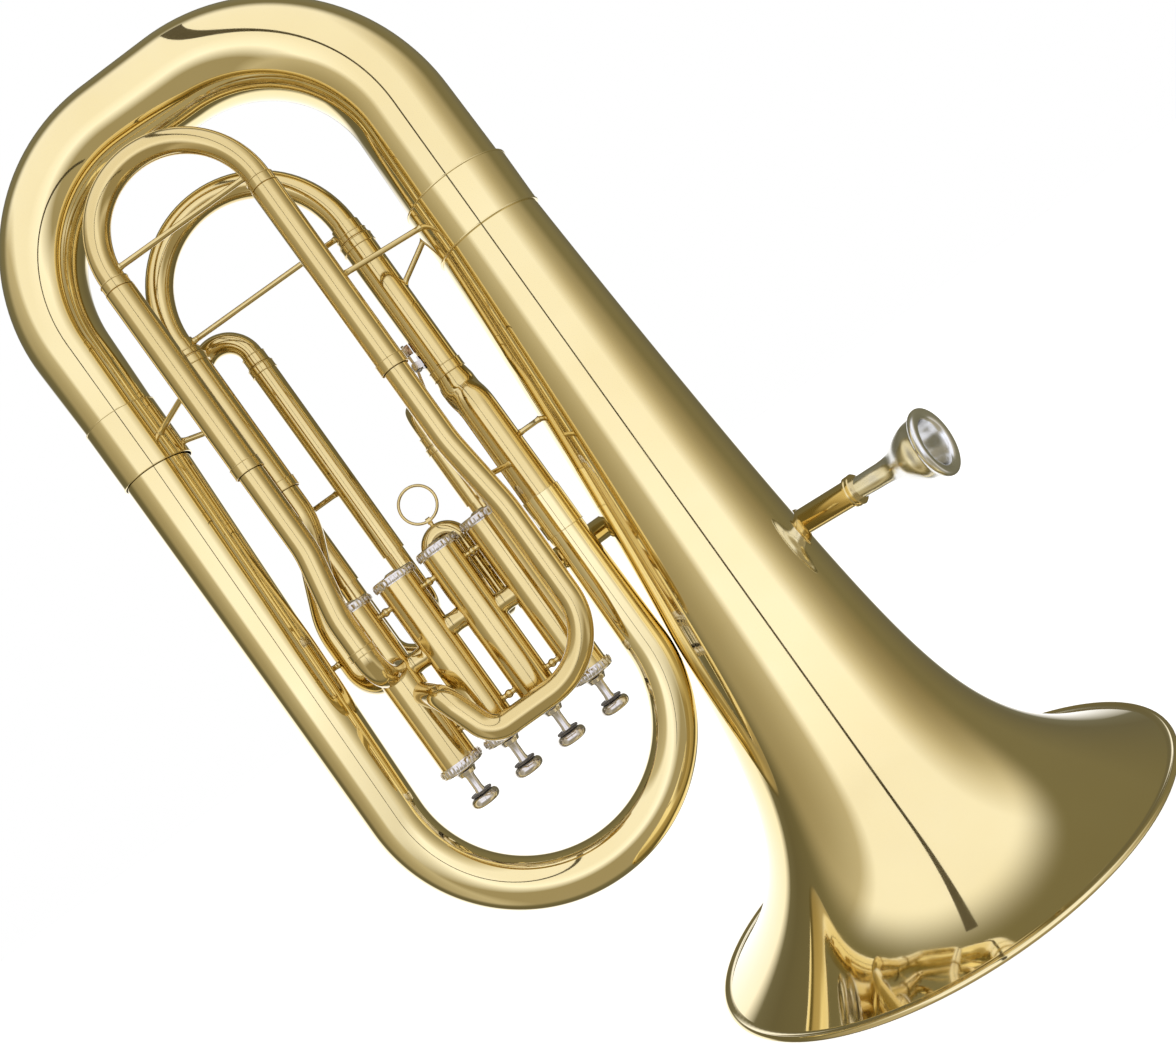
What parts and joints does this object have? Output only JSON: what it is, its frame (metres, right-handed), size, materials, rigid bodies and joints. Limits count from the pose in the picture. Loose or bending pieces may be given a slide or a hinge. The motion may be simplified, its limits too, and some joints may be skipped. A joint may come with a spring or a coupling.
{
  "type": "tenor tuba",
  "caption": "Lacquered brass tenor tuba with in-line piston valves, tuning slides, water key, leadpipe and removable mouthpiece, standing on its bell.",
  "frame": {"origin": "centre of the bounding box on the bell rim plane, on which the instrument stands", "axes": "+Z from the bell rim to the bottom bow; the mouthpiece and the player's side face -Y; the bell is towards +X"},
  "size_m": [0.3826, 0.28, 0.6116],
  "materials": {
    "lacquered_brass": "polished and clear lacquered",
    "nickel_plate": "polished nickel",
    "silver_plate": "polished silver",
    "spring_steel": "drawn wire",
    "felt": "wool felt",
    "cork": "natural cork"
  },
  "bodies": {
    "horn": {"bell": "lacquered_brass", "bell_ferrule": "lacquered_brass", "bottom_bow": "lacquered_brass", "bow_ferrule": "lacquered_brass", "upper_bow": "lacquered_brass", "branch_ferrule": "lacquered_brass", "small_branch": "lacquered_brass", "leadpipe": "lacquered_brass", "mouthpiece_receiver": "lacquered_brass", "main_slide_sleeves": "lacquered_brass", "water_key_saddle": "nickel_plate", "water_key_pin": "nickel_plate", "water_key_spring": "spring_steel", "first_slide_sleeves": "lacquered_brass", "second_slide_sleeves": "lacquered_brass", "third_slide_sleeves": "lacquered_brass", "fourth_valve_tubing": "lacquered_brass", "valve_1_casing": "lacquered_brass", "valve_2_casing": "lacquered_brass", "valve_3_casing": "lacquered_brass", "valve_4_casing": "lacquered_brass", "valve_knuckles": "lacquered_brass", "valve_top_caps": "nickel_plate", "valve_bottom_caps": "nickel_plate", "valve_1_spring": "spring_steel", "valve_2_spring": "spring_steel", "valve_3_spring": "spring_steel", "valve_4_spring": "spring_steel", "bell_stays": "lacquered_brass", "slide_stays": "lacquered_brass"},
    "valve_1": {"valve_1_piston": "nickel_plate", "valve_1_stem": "nickel_plate", "valve_1_button": "nickel_plate", "valve_1_felt": "felt"},
    "valve_2": {"valve_2_piston": "nickel_plate", "valve_2_stem": "nickel_plate", "valve_2_button": "nickel_plate", "valve_2_felt": "felt"},
    "valve_3": {"valve_3_piston": "nickel_plate", "valve_3_stem": "nickel_plate", "valve_3_button": "nickel_plate", "valve_3_felt": "felt"},
    "valve_4": {"valve_4_piston": "nickel_plate", "valve_4_stem": "nickel_plate", "valve_4_button": "nickel_plate", "valve_4_felt": "felt"},
    "main_slide": {"main_slide_bow": "lacquered_brass"},
    "first_slide": {"first_slide_bow": "lacquered_brass"},
    "second_slide": {"second_slide_bow": "lacquered_brass"},
    "pull_ring": {"second_slide_ring": "lacquered_brass"},
    "third_slide": {"third_slide_bow": "lacquered_brass"},
    "fourth_slide": {"fourth_slide_bow": "lacquered_brass"},
    "water_key": {"water_key_lever": "nickel_plate", "water_key_cork": "cork"},
    "mouthpiece": {"mouthpiece": "silver_plate"}
  },
  "joints": [
    {"name": "valve_1_press", "type": "slide", "parent": "horn", "child": "valve_1", "axis": [0, 0, 1], "range_m": [0, 0.01], "stiffness_N_per_m": 90, "springref_m": -0.012, "deforming": ["valve_1_spring"]},
    {"name": "valve_2_press", "type": "slide", "parent": "horn", "child": "valve_2", "axis": [0, 0, 1], "range_m": [0, 0.01], "stiffness_N_per_m": 90, "springref_m": -0.012, "deforming": ["valve_2_spring"]},
    {"name": "valve_3_press", "type": "slide", "parent": "horn", "child": "valve_3", "axis": [0, 0, 1], "range_m": [0, 0.01], "stiffness_N_per_m": 90, "springref_m": -0.012, "deforming": ["valve_3_spring"]},
    {"name": "valve_4_press", "type": "slide", "parent": "horn", "child": "valve_4", "axis": [0, 0, 1], "range_m": [0, 0.01], "stiffness_N_per_m": 90, "springref_m": -0.012, "deforming": ["valve_4_spring"]},
    {"name": "main_slide_pull", "type": "slide", "parent": "horn", "child": "main_slide", "axis": [0, 0, 1], "range_m": [0, 0.022]},
    {"name": "first_slide_pull", "type": "slide", "parent": "horn", "child": "first_slide", "axis": [0, 0, 1], "range_m": [0, 0.03]},
    {"name": "second_slide_pull", "type": "slide", "parent": "horn", "child": "second_slide", "axis": [0, 0, 1], "range_m": [0, 0.015]},
    {"name": "third_slide_pull", "type": "slide", "parent": "horn", "child": "third_slide", "axis": [0, 0, 1], "range_m": [0, 0.06]},
    {"name": "fourth_slide_pull", "type": "slide", "parent": "horn", "child": "fourth_slide", "axis": [0, 0, 1], "range_m": [0, 0.06]},
    {"name": "pull_ring_swing", "type": "hinge", "parent": "second_slide", "child": "pull_ring", "pos_m": [-0.06905, 0.027, 0.3131], "axis": [1, 0, 0], "range_deg": [-60, 60]},
    {"name": "water_key_press", "type": "hinge", "parent": "horn", "child": "water_key", "pos_m": [-0.0233, 0.007, 0.384], "axis": [0, -1, 0], "range_deg": [0, 12], "stiffness_Nm_per_rad": 0.05, "springref_deg": -20.05},
    {"name": "mouthpiece_pull", "type": "slide", "parent": "horn", "child": "mouthpiece", "axis": [0.7659, -0.6429, 0], "range_m": [0, 0.03]}
  ]
}
